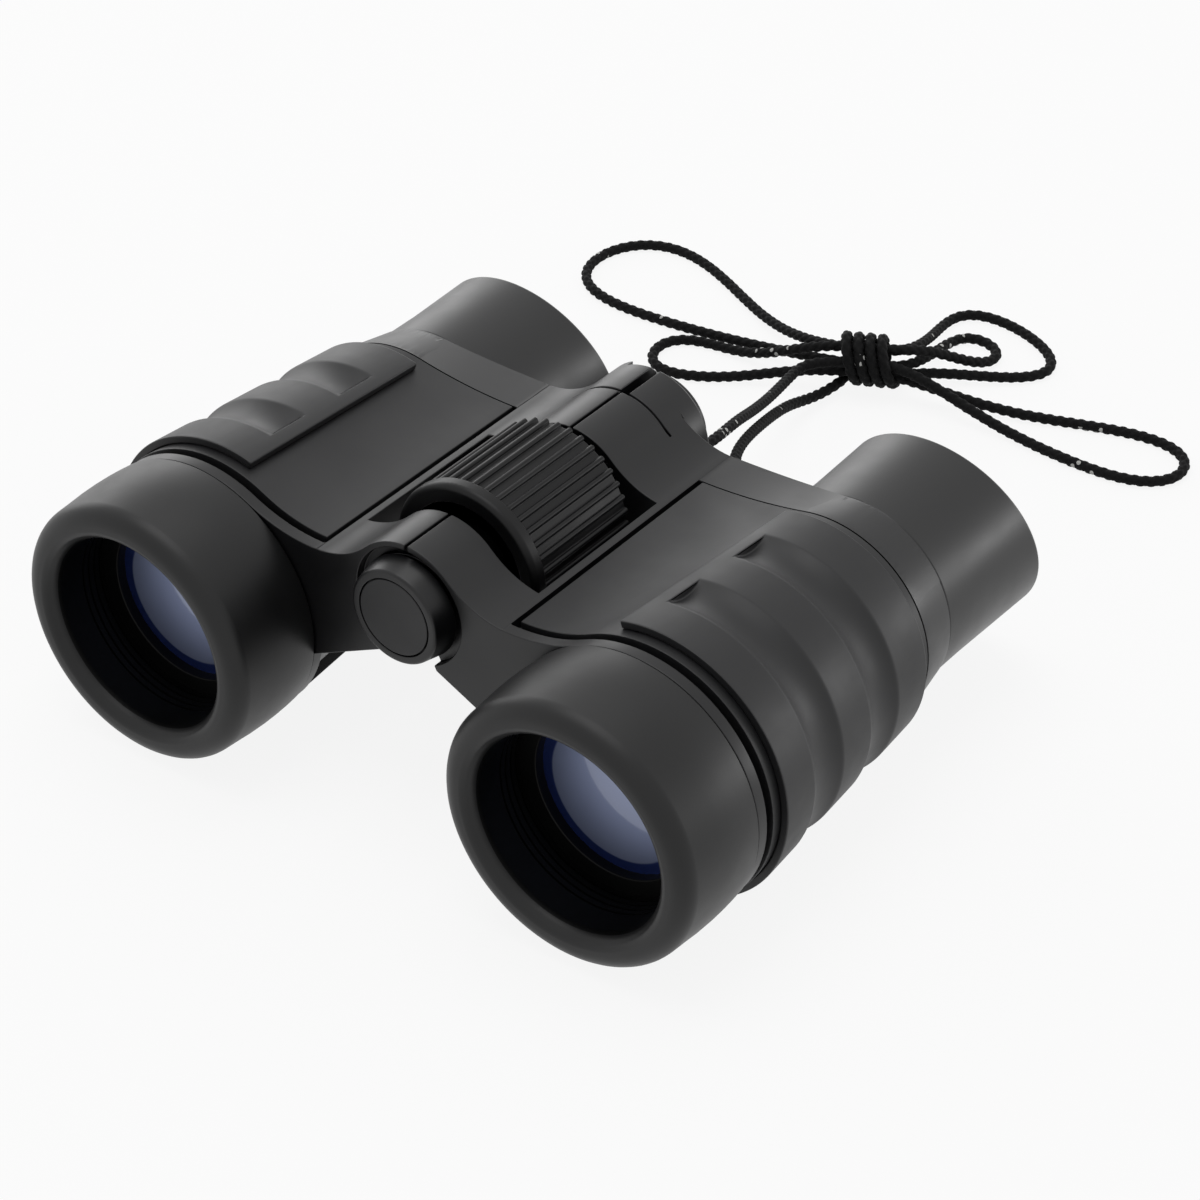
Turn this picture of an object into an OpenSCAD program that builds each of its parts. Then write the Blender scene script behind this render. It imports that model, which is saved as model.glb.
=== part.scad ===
// Toy binoculars: two straight barrels on a central hinge, with a focus wheel and a neck cord.
// X runs across the barrels, Y from the objectives (-) to the eyecups (+), Z up. Millimetres.
// The barrels lie fully open, on the grip pads. The right barrel is the one at +X.

/* [Layout] */
// Distance between the two barrel axes, fully open
barrel_spacing = 75.2; // [74:0.2:80]
// Height of the hinge axis above the barrel axes
hinge_rise = 12.1; // [11.6:0.1:13]
// Distance of the saddle's lowest line from the slot for the wheel
saddle_set = 2; // [1.8:0.1:3]
// Drop of the saddle's lowest line below the rear of the body
saddle_drop = 0.9; // [0.6:0.1:1.6]

/* [Objective hood] */
// Length of the hood in front of the body
hood_len = 16; // [14:0.5:20]
// Wall of the hood behind its lip, round its bore
hood_wall = 5.1; // [4.8:0.1:5.6]
// How far the hood swells at its middle
hood_swell = 0.5; // [0.3:0.1:0.8]
// Rounding of the hood's lip
lip_round = 2.6; // [1.5:0.1:3]
// Radius of the hood's bore
hood_bore_r = 14.9; // [14.4:0.1:15.4]
// Width of the bevel at the mouth of the bore
mouth_bevel = 1.1; // [0.6:0.1:1.4]
// Depth of the lens behind the lip
lens_depth = 12.4; // [11:0.2:13]
// Width of the ring in front of the lens
lens_stop_w = 3.1; // [2.7:0.1:3.4]
// Number of glare grooves in the bore
groove_count = 4; // [2:1:5]

/* [Optics] */
// Width of the seat that the objective lens bears on
lens_seat = 1.5; // [1.2:0.1:1.8]
// Thickness of the objective lens at its edge
objective_edge = 1.6; // [1.2:0.1:2]
// Bulge of each face of the objective lens
objective_bulge = 1.2; // [0.8:0.1:1.6]
// Thickness of the eye lens at its edge
eye_lens_edge = 2.2; // [1.8:0.1:2.6]
// Hollow of each face of the eye lens
eye_lens_hollow = 0.6; // [0.3:0.1:0.8]

/* [Body] */
// Length of the body's front collar
collar_len = 1.9; // [1.5:0.1:2.5]
// Width of the dark groove behind the collar
groove_len = 1.2; // [0.8:0.1:1.6]
// Length of the rear band behind the cover
band_len = 7.6; // [7:0.1:9]
// Wall of the rear band at its end, round the eyepiece tube
band_wall = 3.7; // [3.5:0.1:4]
// Room round the eyepiece tube in front of its guide
tube_room = 1.65; // [1.4:0.05:2]
// Wall of the barrel under the cover
barrel_wall = 1.6; // [1.3:0.1:1.9]
// Angle below level at which the web runs into the barrel
web_root_angle = 22; // [18:1:26]

/* [Cover] */
// Length of the armour cover
cover_len = 41.2; // [40:0.2:44]
// How far the cover's front stands out from the hood
cover_step = 0.1; // [0:0.05:0.3]
// Thickness of the cover
cover_t = 1.6; // [1.3:0.1:1.8]
// Width of the dark line round the cover
cover_gap = 0.7; // [0.5:0.1:0.9]
// Angle past the bottom at which the cover ends
cover_wrap = 40; // [30:5:50]

/* [Grip pad] */
// How far the pad stands out of the cover
pad_t = 1.2; // [1.1:0.1:1.5]
// Length of the pad
pad_len = 37; // [35:0.5:38]
// Distance of the pad behind the cover's front edge
pad_set = 1.8; // [1.4:0.1:2.4]
// Angle past the top and the bottom at which the pad ends
pad_wrap = 16; // [12:1:20]
// Number of finger flutes
flute_count = 2; // [1:1:3]
// Width of a flute along the barrel
flute_w = 7.4; // [6.5:0.1:8]
// Depth of a flute
flute_depth = 1; // [0.7:0.1:1]
// Angle from the pad's edge to the end of a flute
flute_margin = 7; // [5:1:9]

/* [Hinge] */
// Outer radius of the hinge
knuckle_r = 9.9; // [9.6:0.1:10.4]
// Wall of the half shrouds of the hinge
shroud_t = 2.2; // [1.9:0.1:2.4]
// Gap between the half shrouds on top
shroud_gap = 0.5; // [0.3:0.1:0.8]
// Angle from straight down to the lower edge of a shroud
shroud_open = 26; // [25:0.5:28]
// Length of the front hinge
front_hinge_len = 9.5; // [9.2:0.1:10.5]
// Length of the rear hinge
rear_hinge_len = 20.6; // [20.4:0.1:22]
// How far the front cap's edge lies inside the hinge's outside
cap_inset = 2.7; // [2.4:0.1:3]
// How far the front cap stands out of the body
cap_proud = 3.2; // [2.6:0.1:3.8]
// Width of the front cap's ring round the disc
cap_ring_w = 1.4; // [1:0.1:1.7]

/* [Focus] */
// Outer radius of the focus wheel
wheel_r = 12.3; // [11.9:0.1:12.8]
// Length of the focus wheel
wheel_len = 21.3; // [20:0.1:21.8]
// Distance of the wheel behind the front hinge
wheel_set = 2.7; // [2.2:0.1:3]
// Number of ribs on the wheel
rib_count = 36; // [30:1:40]
// Radius of a rib's rounded crest
rib_r = 0.45; // [0.4:0.05:0.6]
// Gap between the wheel and each wall of its slot
slot_gap = 2.5; // [2.2:0.1:2.9]
// Travel of the eyepieces
focus_travel = 3.8; // [3:0.1:4]

/* [Eyepiece] */
// Outer radius of the sliding eyepiece tube
tube_r = 12.2; // [12:0.1:12.4]
// Wall of the eyepiece tube round the eye lens
tube_t = 1.65; // [1.4:0.05:1.8]
// Length of the eyepiece tube
tube_len = 23.6; // [23:0.1:25]
// Wall of the eyecup at its front, round the tube
eyecup_front_t = 3.4; // [3.2:0.1:3.6]
// How far the eyecup flares towards its rim
eyecup_flare = 0.4; // [0.2:0.1:0.6]
// Length of the eyecup on its axis
eyecup_len = 23.4; // [22:0.1:25]
// Slant of the rim, as its rise along the barrel for each unit of height
rim_slant_share = 0.29; // [0.2:0.01:0.3]
// Wall of the eyecup
eyecup_t = 1.9; // [1.6:0.1:2.2]

/* [Cord] */
// Diameter of the neck cord
cord_d = 1.8; // [1.6:0.1:2]

/* [Hidden] */
$fn = 96;

// Clearances: running fits, loose gaps between moving pieces, seams, and the overrun of cuts
run_fit = 0.05;
move_gap = 0.3;
seam = 0.15;
over = 1;

// Radii of the barrel: the front follows the hood's bore, the rear follows the eyepiece tube
hood_r = hood_bore_r + hood_wall;
spigot_wall = 2.1;
spigot_r = hood_bore_r + spigot_wall;
lens_stop_r = hood_bore_r - lens_stop_w;
objective_r = lens_stop_r + lens_seat;
collar_r = hood_r;
cover_front_r = hood_r + cover_step;
cover_rear_r = tube_r + tube_room + barrel_wall + seam + cover_t;
band_rear_r = tube_r + band_wall;
eyecup_r = tube_r + eyecup_front_t;
eye_lens_r = tube_r - tube_t - run_fit;

// Stations along the barrel, counted from the lip of the hood
half = barrel_spacing / 2;
body_y = hood_len;
groove_y = body_y + collar_len;
cover_y = groove_y + groove_len;
cover_end_y = cover_y + cover_len;
band_y = cover_end_y + seam;
body_end_y = band_y + band_len;
eyecup_y = body_end_y + seam;
rim_y = eyecup_y + eyecup_len;
rim_r = eyecup_r + eyecup_flare;
rim_low_y = rim_y + rim_slant_share * rim_r;
// The part is centred on its length and stands on the pads
mid_y = rim_low_y / 2;
pad_y = cover_y + pad_set;
pad_end_y = pad_y + pad_len;
axis_z = max(radius_at(pad_y), radius_at(pad_end_y)) + pad_t;

// Radius of the cover at a station along the barrel
function radius_at(y) = cover_front_r + (cover_rear_r - cover_front_r) * (y - cover_y) / cover_len;

// Hood
spigot_len = 4;
swell_share = 0.62;
swell_y = hood_len * swell_share;
swell_arc_r = (pow(swell_y - lip_round, 2) + pow(hood_swell, 2)) / (2 * hood_swell);
lens_ring_len = 2.2;
glare_groove = 0.35;
glare_pitch = 1.1;

// Saddle between the barrel and the hinge
slot_half_w = wheel_r + slot_gap;
saddle_x = slot_half_w + saddle_set;
saddle_z = band_rear_r - saddle_drop;
strip_x = saddle_x - cover_gap;
web_top_z = saddle_z - cover_t - seam;
web_low = [knuckle_r * sin(shroud_open), hinge_rise - knuckle_r * cos(shroud_open)];

// Radius of the saddle's arc that is level at its lowest line and runs into a circle of radius r,
// which lies dx to the side with its centre dz below the lowest line
function saddle_arc(dx, dz, r) = (dx * dx + dz * dz - r * r) / (2 * (r - dz));

// Hinge stations and rings
shroud_in_r = knuckle_r - shroud_t;
ring_r = shroud_in_r - move_gap;
// Carriage, spindle and axle lie inside one another in the rear shroud
carriage_room = 0.7;
carriage_r = shroud_in_r - carriage_room;
spindle_share = 0.5;
spindle_r = carriage_r * spindle_share;
axle_share = 4 / 7;
axle_r = spindle_r * axle_share;
cap_r = knuckle_r - cap_inset;
disc_r = cap_r - cap_ring_w;
front_hinge_end = body_y + front_hinge_len;
cap_recess = 1.4;
front_ring_y = body_y + cap_recess;
front_ring_len = (front_hinge_len - cap_recess - 2 * move_gap) / 2;
wheel_y = front_hinge_end + wheel_set;
wheel_end_y = wheel_y + wheel_len;
rear_hinge_y = wheel_end_y + wheel_set;
rear_hinge_end = rear_hinge_y + rear_hinge_len;
rear_ring_len = 3.1;
rear_ring_y = rear_hinge_end - 2 * rear_ring_len - move_gap;
rear_chamfer = 1.3;
shroud_step_share = 0.56;
shroud_step_y = rear_hinge_y + shroud_step_share * rear_hinge_len;
shroud_step = 1;
shroud_line = 0.4;
shroud_line_angle = 76;
cap_flare = 0.7;
cap_rear_r = cap_r + cap_flare;
cap_seat_share = 0.35;
recess_share = 0.6;
ring_root_share = 0.6;
cap_hub_wall = 2.6;
cap_hub_r = axle_r + cap_hub_wall;
cap_face_y = body_y - cap_proud;
disc_t = 1;
disc_gap = 0.2;
rear_cap_t = 1.6;
rear_cap_r = ring_r;

// Focus drive
rib_drop = 0.15;
rib_seat_r = wheel_r - rib_drop - rib_r;
rib_height = 0.75;
wheel_core_r = wheel_r - rib_height;
rim_len = 2.2;
rim_round = 0.9;
hub_wall = 1.9;
wheel_hub_r = spindle_r + hub_wall;
wheel_wall = 1.9;
wheel_web = 6;
spindle_end = rear_ring_y - move_gap;
arm_set = 3.8;
arm_y = rear_hinge_y + arm_set;
arm_t = 3;
arm_w = 5;
arm_slack = 0.2;
arm_ring_gap = 0.1;
arm_ring_out = carriage_r - arm_ring_gap;
arm_ring_share = 0.75;
arm_ring_in = carriage_r * arm_ring_share;
arm_spread = 38;
carriage_flange = 2;
carriage_groove_r = arm_ring_in - move_gap;
carriage_y = arm_y - arm_slack - carriage_flange;
carriage_len = arm_t + 2 * arm_slack + 2 * carriage_flange;
key_w = 2;
key_depth = 0.7;
key_r = shroud_in_r + key_depth;
key_angle = 36;
keyway_end = carriage_y + carriage_len + focus_travel + move_gap;

// Eyepiece
tube_y = arm_y - move_gap;
tube_end = tube_y + tube_len;
eye_lens_seat = 1;
eye_stop_r = eye_lens_r - eye_lens_seat;
guide_len = 6;
eye_ring_len = 1;
eye_lens_y = tube_end - eye_ring_len - eye_lens_edge;
shelf_t = 1.4;
cup_bore_r = rim_r - eyecup_t;

// Strap lug on the right body
lug_x = 4.4;
lug_w = 3;
lug_r = 3;
lug_hole_r = 1.4;
lug_reach = 6.7;
lug_z = 2.6;

hinge = [0, hinge_rise];
barrel = [half, 0];
arm_angle = atan2(-hinge_rise, half);
arm_len = norm(barrel - hinge);

black = "#1b1b1d";
soft_black = "#232427";
deep_black = "#0c0c0d";

// Placing: the barrel's axis, or the middle plane under the hinge, with Y from the lip of the hood
module on_barrel(side) {
    mirror([side < 0 ? 1 : 0, 0, 0])
        translate([half, -mid_y, axis_z])
            children();
}

module on_middle(side) {
    mirror([side < 0 ? 1 : 0, 0, 0])
        translate([0, -mid_y, axis_z])
            children();
}

module on_hinge() {
    translate([0, -mid_y, axis_z + hinge_rise])
        children();
}

// A profile of radius and station turned about the Y axis
module turned() {
    rotate([-90, 0, 0])
        rotate_extrude()
            children();
}

// The same over part of a turn, from one angle past the top to another past the bottom
module part_turned(first, last) {
    rotate([-90, 0, 0])
        rotate([0, 0, first])
            rotate_extrude(angle = last - first)
                children();
}

// A section in X and Z drawn out from one station to another
module along(y0, y1) {
    translate([0, y1, 0])
        rotate([90, 0, 0])
            linear_extrude(y1 - y0)
                children();
}

// A ring or disc from one station to another
module ring(y0, y1, r_out, r_in) {
    turned()
        translate([r_in, y0])
            square([r_out - r_in, y1 - y0]);
}

// Objective hood: rounded lip, swelling side, bore with glare grooves, spigot into the body
module hood_outline() {
    intersection() {
        translate([hood_r + hood_swell - swell_arc_r, swell_y])
            circle(swell_arc_r, $fn = 360);
        square([hood_r + hood_swell, hood_len - seam]);
        union() {
            translate([0, lip_round])
                square([hood_r + hood_swell, hood_len]);
            square([hood_r - lip_round, hood_len]);
            translate([hood_r - lip_round, lip_round])
                circle(lip_round);
        }
    }
    square([spigot_r, hood_len + spigot_len]);
}

module objective_hood(side) {
    color(black)
        on_barrel(side)
            turned()
                difference() {
                    hood_outline();
                    translate([0, -over])
                        square([hood_bore_r, lens_depth - objective_edge + over]);
                    polygon([
                        [0, -over],
                        [hood_bore_r + mouth_bevel + over, -over],
                        [hood_bore_r, mouth_bevel]
                    ]);
                    square([lens_stop_r, hood_len]);
                    translate([0, lens_depth])
                        square([objective_r + run_fit, hood_len]);
                    for (i = [0 : groove_count - 1])
                        translate([hood_bore_r, lens_depth - objective_edge - glare_pitch * (i + 1)])
                            square([glare_groove, glare_groove]);
                }
}

// Objective lens: biconvex with a flat rim, seated from behind against the stop of the hood
module objective_lens(side) {
    clear_r = lens_stop_r - seam;
    face_r = (pow(clear_r, 2) + pow(objective_bulge, 2)) / (2 * objective_bulge);
    color("#27406f")
        on_barrel(side)
            turned() {
                translate([0, lens_depth])
                    square([objective_r, objective_edge]);
                intersection() {
                    translate([0, lens_depth - objective_bulge])
                        square([clear_r, objective_edge + 2 * objective_bulge]);
                    translate([0, lens_depth - objective_bulge + face_r])
                        circle(face_r, $fn = 360);
                    translate([0, lens_depth + objective_edge + objective_bulge - face_r])
                        circle(face_r, $fn = 360);
                }
            }
}

// Lens ring: pressed in behind the objective lens
module lens_ring(side) {
    color(deep_black)
        on_barrel(side)
            translate([0, lens_depth + objective_edge, 0])
                ring(0, lens_ring_len, objective_r, lens_stop_r);
}

// Body: section of the web from the hinge to the cover's edge
module inner_web() {
    arc_r = saddle_arc(saddle_x, saddle_z - hinge_rise, knuckle_r);
    centre = [saddle_x, saddle_z + arc_r];
    touch = hinge + knuckle_r * (centre - hinge) / norm(centre - hinge);
    difference() {
        polygon([hinge, touch, [strip_x, touch[1]], [strip_x, web_bottom(strip_x)], web_low]);
        translate(centre)
            circle(arc_r);
    }
}

// Height of the web's straight underside
function web_bottom(x) =
    let (root = [half - band_rear_r * cos(web_root_angle), -band_rear_r * sin(web_root_angle)])
    web_low[1] + (root[1] - web_low[1]) * (x - web_low[0]) / (root[0] - web_low[0]);

// Body: section of the web from the cover's edge into a barrel of radius r
module outer_web(r) {
    arc_r = saddle_arc(half - saddle_x, saddle_z, r);
    centre = [saddle_x, saddle_z + arc_r];
    touch = barrel + r * (centre - barrel) / norm(centre - barrel);
    root_x = half - band_rear_r * cos(web_root_angle);
    difference() {
        polygon([
            [strip_x, web_bottom(strip_x)], [strip_x, saddle_z], [saddle_x, saddle_z],
            touch, barrel, [root_x, web_bottom(root_x)]
        ]);
        translate(centre)
            circle(arc_r, $fn = 360);
    }
}

// Body: section of the web under the cover
module covered_web() {
    root_x = half - band_rear_r * cos(web_root_angle);
    polygon([
        [strip_x, web_bottom(strip_x)], [strip_x, web_top_z], [half, web_top_z],
        barrel, [root_x, web_bottom(root_x)]
    ]);
}

// Sector of the hinge that one body's shroud fills: from the top line round to its lower edge
module shroud_sector(gap) {
    reach = 2 * knuckle_r;
    intersection() {
        translate(hinge)
            circle(knuckle_r);
        polygon([
            [gap, hinge_rise], [gap, hinge_rise + reach], [reach, hinge_rise + reach],
            [reach, hinge_rise - reach], [reach * tan(shroud_open), hinge_rise - reach]
        ]);
    }
}

module barrel_outline() {
    core_front_r = radius_at(cover_y) - cover_t - seam;
    core_rear_r = radius_at(cover_end_y) - cover_t - seam;
    translate([0, body_y])
        square([collar_r, collar_len]);
    polygon([
        [0, groove_y], [core_front_r, groove_y], [core_front_r, cover_y],
        [core_rear_r, band_y], [0, band_y]
    ]);
    polygon([[0, band_y], [cover_rear_r, band_y], [band_rear_r, body_end_y], [0, body_end_y]]);
}

module barrel_bore() {
    bore_front_r = radius_at(cover_y) - cover_t - seam - barrel_wall;
    bore_rear_r = radius_at(cover_end_y) - cover_t - seam - barrel_wall;
    guide_y = body_end_y - guide_len;
    polygon([
        [0, body_y - over], [spigot_r + run_fit, body_y - over],
        [spigot_r + run_fit, body_y + spigot_len + seam], [bore_front_r, body_y + spigot_len + seam],
        [bore_rear_r, cover_end_y], [bore_rear_r, guide_y],
        [tube_r + run_fit, guide_y], [tube_r + run_fit, body_end_y + over], [0, body_end_y + over]
    ]);
}

// Arm of the eyepiece: bar to the hinge and a part ring in the carriage's groove
module arm_outline(slack) {
    translate(hinge)
        rotate(arm_angle)
            translate([arm_ring_in, -arm_w / 2 - slack])
                square([arm_len - arm_ring_in - tube_r + tube_t, arm_w + 2 * slack]);
}

// Radial line of the carriage's key
module on_key() {
    translate([0, 0, hinge_rise])
        rotate([0, -key_angle, 0])
            children();
}

module body_walls(side) {
    difference() {
        union() {
            translate([half, 0, 0])
                turned()
                    barrel_outline();
            along(body_y, body_end_y)
                inner_web();
            along(body_y, groove_y)
                outer_web(collar_r);
            along(groove_y, band_y)
                covered_web();
            along(band_y, body_end_y)
                outer_web(band_rear_r);
            along(body_y, rear_hinge_end)
                shroud_sector(shroud_gap / 2);
        }
        // Slot for the focus wheel
        translate([-over, front_hinge_end, -half])
            cube([slot_half_w + over, rear_hinge_y - front_hinge_end, barrel_spacing]);
        // Bore for the knuckle rings and the focus carriage, and the recess behind the front cap
        translate([0, 0, hinge_rise]) {
            ring(body_y - over, rear_hinge_end + over, shroud_in_r, 0);
            ring(body_y - over, front_ring_y, shroud_in_r + shroud_t * recess_share, 0);
            // Chamfer of the rear end
            turned()
                polygon([
                    [knuckle_r + over, rear_hinge_end + over],
                    [knuckle_r - rear_chamfer - over, rear_hinge_end + over],
                    [knuckle_r + over, rear_hinge_end - rear_chamfer - over]
                ]);
            // Fine line round the rear hinge
            part_turned(-90, -90 + shroud_line_angle)
                translate([knuckle_r - shroud_line, shroud_step_y])
                    square([2 * shroud_line, shroud_line]);
        }
        // Wider gap behind that line, and the keyway of the focus carriage, on the right body only
        if (side > 0) {
            translate([0, shroud_step_y, hinge_rise + ring_r])
                cube([shroud_gap / 2 + shroud_step, rear_hinge_len, knuckle_r]);
            on_key()
                translate([0, rear_hinge_y - over, -key_w / 2 - move_gap])
                    cube([key_r + move_gap, keyway_end - rear_hinge_y + over, key_w + 2 * move_gap]);
        }
        translate([half, 0, 0])
            turned()
                barrel_bore();
        // Passage for the eyepiece's arm
        along(tube_y - move_gap, arm_y + arm_t + focus_travel + 2 * move_gap)
            arm_outline(move_gap);
    }
}

// Knuckle ring on the axle, joined to its own body's web
module knuckle_ring(y0, len) {
    along(y0, y0 + len)
        difference() {
            union() {
                translate(hinge)
                    circle(ring_r);
                shroud_sector(ring_r * ring_root_share);
            }
            translate(hinge)
                circle(axle_r + run_fit);
        }
}

module knuckle_rings(front_y, rear_y) {
    knuckle_ring(front_y, front_ring_len);
    knuckle_ring(rear_y, rear_ring_len);
}

// Lug behind the right web, with a cross hole for the neck cord
module strap_lug() {
    translate([lug_x, body_end_y + lug_reach, lug_z])
        rotate([0, 90, 0])
            difference() {
                union() {
                    cylinder(r = lug_r, h = lug_w);
                    translate([-lug_r, -lug_reach - over, 0])
                        cube([2 * lug_r, lug_reach + over, lug_w]);
                }
                translate([0, 0, -over])
                    cylinder(r = lug_hole_r, h = lug_w + 2 * over);
            }
}

module right_body_shell() {
    color(black)
        on_middle(1) {
            body_walls(1);
            knuckle_rings(front_ring_y, rear_ring_y);
            strap_lug();
        }
}

module left_body_shell() {
    color(black)
        on_middle(-1) {
            body_walls(-1);
            translate([0, move_gap, 0])
                knuckle_rings(front_ring_y + front_ring_len, rear_ring_y + rear_ring_len);
        }
}

// Armour cover: a shell drawn from its front section to its rear section
cover_steps = 72;
saddle_steps = 10;

// Outer edge of the cover's section, from the saddle over the top and outside to the underside,
// at barrel radius r and depth t under its surface
function cover_path(r, t) =
    let (
        edge = [saddle_x - half, saddle_z],
        arc_r = saddle_arc(-edge[0], edge[1], r),
        centre = edge + [0, arc_r],
        lean = atan2(-edge[0], centre[1]),
        end = 180 + cover_wrap
    )
    concat(
        [for (i = [0 : saddle_steps - 1])
            let (a = lean * i / saddle_steps)
            centre + (arc_r + t) * [sin(a), -cos(a)]],
        [for (i = [0 : cover_steps])
            let (a = -lean + (end + lean) * i / cover_steps)
            (r - t) * [sin(a), cos(a)]]
    );

function reversed(list) = [for (i = [len(list) - 1 : -1 : 0]) list[i]];

function cover_section(r) = concat(cover_path(r, 0), reversed(cover_path(r, cover_t)));

module armour_cover(side) {
    front = cover_section(cover_front_r);
    rear = cover_section(cover_rear_r);
    count = len(front);
    points = concat(
        [for (p = front) [p[0], cover_y, p[1]]],
        [for (p = rear) [p[0], cover_end_y, p[1]]]
    );
    strip = count / 2;
    sides = [for (i = [0 : count - 1])
        let (j = (i + 1) % count)
        each [[i, j, count + j], [i, count + j, count + i]]];
    ends = [for (i = [0 : strip - 2])
        let (a = i, b = i + 1, c = count - 2 - i, d = count - 1 - i)
        each [[a, c, b], [a, d, c], [count + a, count + b, count + c], [count + a, count + c, count + d]]];
    color(soft_black)
        on_barrel(side)
            polyhedron(points, concat(sides, ends));
}

// Grip pad: glued on the cover, with finger flutes that end in pockets
module grip_pad(side) {
    band = (pad_len - flute_count * flute_w) / (flute_count + 1);
    flute_arc_r = (pow(flute_w / 2, 2) + pow(flute_depth, 2)) / (2 * flute_depth);
    color(soft_black)
        on_barrel(side)
            difference() {
                part_turned(-90 - pad_wrap, 90 + pad_wrap)
                    polygon([
                        [radius_at(pad_y), pad_y], [radius_at(pad_y) + pad_t, pad_y],
                        [radius_at(pad_end_y) + pad_t, pad_end_y], [radius_at(pad_end_y), pad_end_y]
                    ]);
                for (i = [0 : flute_count - 1]) {
                    y = pad_y + band + flute_w / 2 + i * (band + flute_w);
                    part_turned(-90 - pad_wrap + flute_margin, 90 + pad_wrap - flute_margin)
                        translate([radius_at(y) + pad_t - flute_depth + flute_arc_r, y])
                            circle(flute_arc_r);
                }
            }
}

// Eyepiece tube: slides in the rear guide of the body; its arm follows the focus carriage
module eyepiece_tube(side) {
    color(deep_black)
        on_middle(side) {
            difference() {
                union() {
                    translate([half, 0, 0])
                        ring(tube_y, tube_end, tube_r, 0);
                    along(arm_y, arm_y + arm_t) {
                        arm_outline(0);
                        translate(hinge)
                            rotate(arm_angle)
                                intersection() {
                                    difference() {
                                        circle(arm_ring_out);
                                        circle(arm_ring_in);
                                    }
                                    polygon([
                                        [0, 0],
                                        [2 * arm_ring_out, 2 * arm_ring_out * tan(arm_spread)],
                                        [2 * arm_ring_out, -2 * arm_ring_out * tan(arm_spread)]
                                    ]);
                                }
                    }
                }
                translate([half, 0, 0]) {
                    ring(tube_y - over, eye_lens_y + over, eye_stop_r, 0);
                    ring(eye_lens_y, tube_end + over, eye_lens_r + run_fit, 0);
                }
            }
        }
}

// Eye lens: hollow on both faces
module eye_lens(side) {
    face_r = (pow(eye_lens_r, 2) + pow(eye_lens_hollow, 2)) / (2 * eye_lens_hollow);
    color("#9fb0bd")
        on_barrel(side)
            turned()
                difference() {
                    translate([0, eye_lens_y])
                        square([eye_lens_r, eye_lens_edge]);
                    translate([0, eye_lens_y + eye_lens_hollow - face_r])
                        circle(face_r, $fn = 360);
                    translate([0, eye_lens_y + eye_lens_edge - eye_lens_hollow + face_r])
                        circle(face_r, $fn = 360);
                }
}

// Eye lens ring: holds the eye lens in the tube
module eye_lens_ring(side) {
    color(deep_black)
        on_barrel(side)
            ring(eye_lens_y + eye_lens_edge, tube_end, eye_lens_r, eye_stop_r);
}

// Eyecup: pressed on the tube, with a shelf behind the lens and a slanted rim
module eyecup(side) {
    shelf_y = tube_end + shelf_t;
    color(soft_black)
        on_barrel(side)
            difference() {
                turned()
                    difference() {
                        polygon([
                            [0, eyecup_y], [eyecup_r, eyecup_y], [eyecup_r, eyecup_y + eyecup_len / 3],
                            [rim_r, rim_y], [rim_r, rim_low_y], [0, rim_low_y]
                        ]);
                        translate([0, eyecup_y - over])
                            square([tube_r, tube_end - eyecup_y + over]);
                        square([eye_stop_r, rim_low_y]);
                        translate([0, shelf_y])
                            square([cup_bore_r, rim_low_y]);
                    }
                translate([0, rim_y, 0])
                    rotate([atan(rim_slant_share), 0, 0])
                        translate([-half, 0, -half])
                            cube(barrel_spacing);
            }
}

// Hinge axle: steel rod through the knuckle rings
module hinge_axle() {
    color("silver")
        on_hinge()
            ring(cap_face_y + disc_t, rear_hinge_end + rear_cap_t, axle_r, 0);
}

// Front hinge cap: pressed on the axle, flares towards the body, recess for the disc
module front_hinge_cap() {
    cap_back_y = body_y + cap_recess * cap_seat_share;
    color(black)
        on_hinge()
            turned()
                difference() {
                    union() {
                        polygon([
                            [0, cap_face_y], [cap_r - disc_gap, cap_face_y], [cap_r, cap_face_y + disc_gap],
                            [cap_rear_r, cap_back_y], [0, cap_back_y]
                        ]);
                        square([cap_hub_r, front_ring_y]);
                    }
                    translate([0, -over])
                        square([cap_hub_r + over, cap_face_y + over]);
                    translate([0, cap_face_y - over])
                        square([disc_r + disc_gap, disc_t + over]);
                    square([axle_r, front_ring_y + over]);
                }
}

// Disc let into the front cap
module front_cap_disc() {
    color(soft_black)
        on_hinge()
            ring(cap_face_y, cap_face_y + disc_t, disc_r, 0);
}

// Rear hinge cap: pressed on the axle behind the last knuckle ring
module rear_hinge_cap() {
    color(black)
        on_hinge()
            ring(rear_hinge_end + move_gap, rear_hinge_end + rear_cap_t, rear_cap_r, axle_r);
}

// Focus wheel: smooth front rim, ribbed grip, hollow front and rear, hub on the spindle
module focus_wheel() {
    ribs_y = wheel_y + rim_round;
    hollow_r = wheel_core_r - wheel_wall;
    hollow_len = (wheel_len - wheel_web) / 2;
    color(deep_black)
        on_hinge()
            difference() {
                union() {
                    turned() {
                        translate([0, wheel_y + rim_round])
                            square([wheel_r, rim_len - rim_round]);
                        translate([0, wheel_y])
                            square([wheel_r - rim_round, rim_len]);
                        translate([wheel_r - rim_round, wheel_y + rim_round])
                            circle(rim_round);
                    }
                    along(ribs_y, wheel_end_y) {
                        circle(wheel_core_r);
                        for (i = [0 : rib_count - 1])
                            rotate(360 * i / rib_count)
                                translate([rib_seat_r, 0])
                                    circle(rib_r, $fn = 24);
                    }
                }
                ring(wheel_y - over, wheel_y + hollow_len, hollow_r, wheel_hub_r);
                ring(wheel_end_y - hollow_len, wheel_end_y + over, hollow_r, wheel_hub_r);
                ring(wheel_y - over, wheel_end_y + over, spindle_r, 0);
            }
}

// Focus spindle: threaded sleeve that turns on the axle
module focus_spindle() {
    color("dimgray")
        on_hinge()
            ring(front_hinge_end - move_gap + seam, spindle_end, spindle_r, axle_r + run_fit);
}

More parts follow.
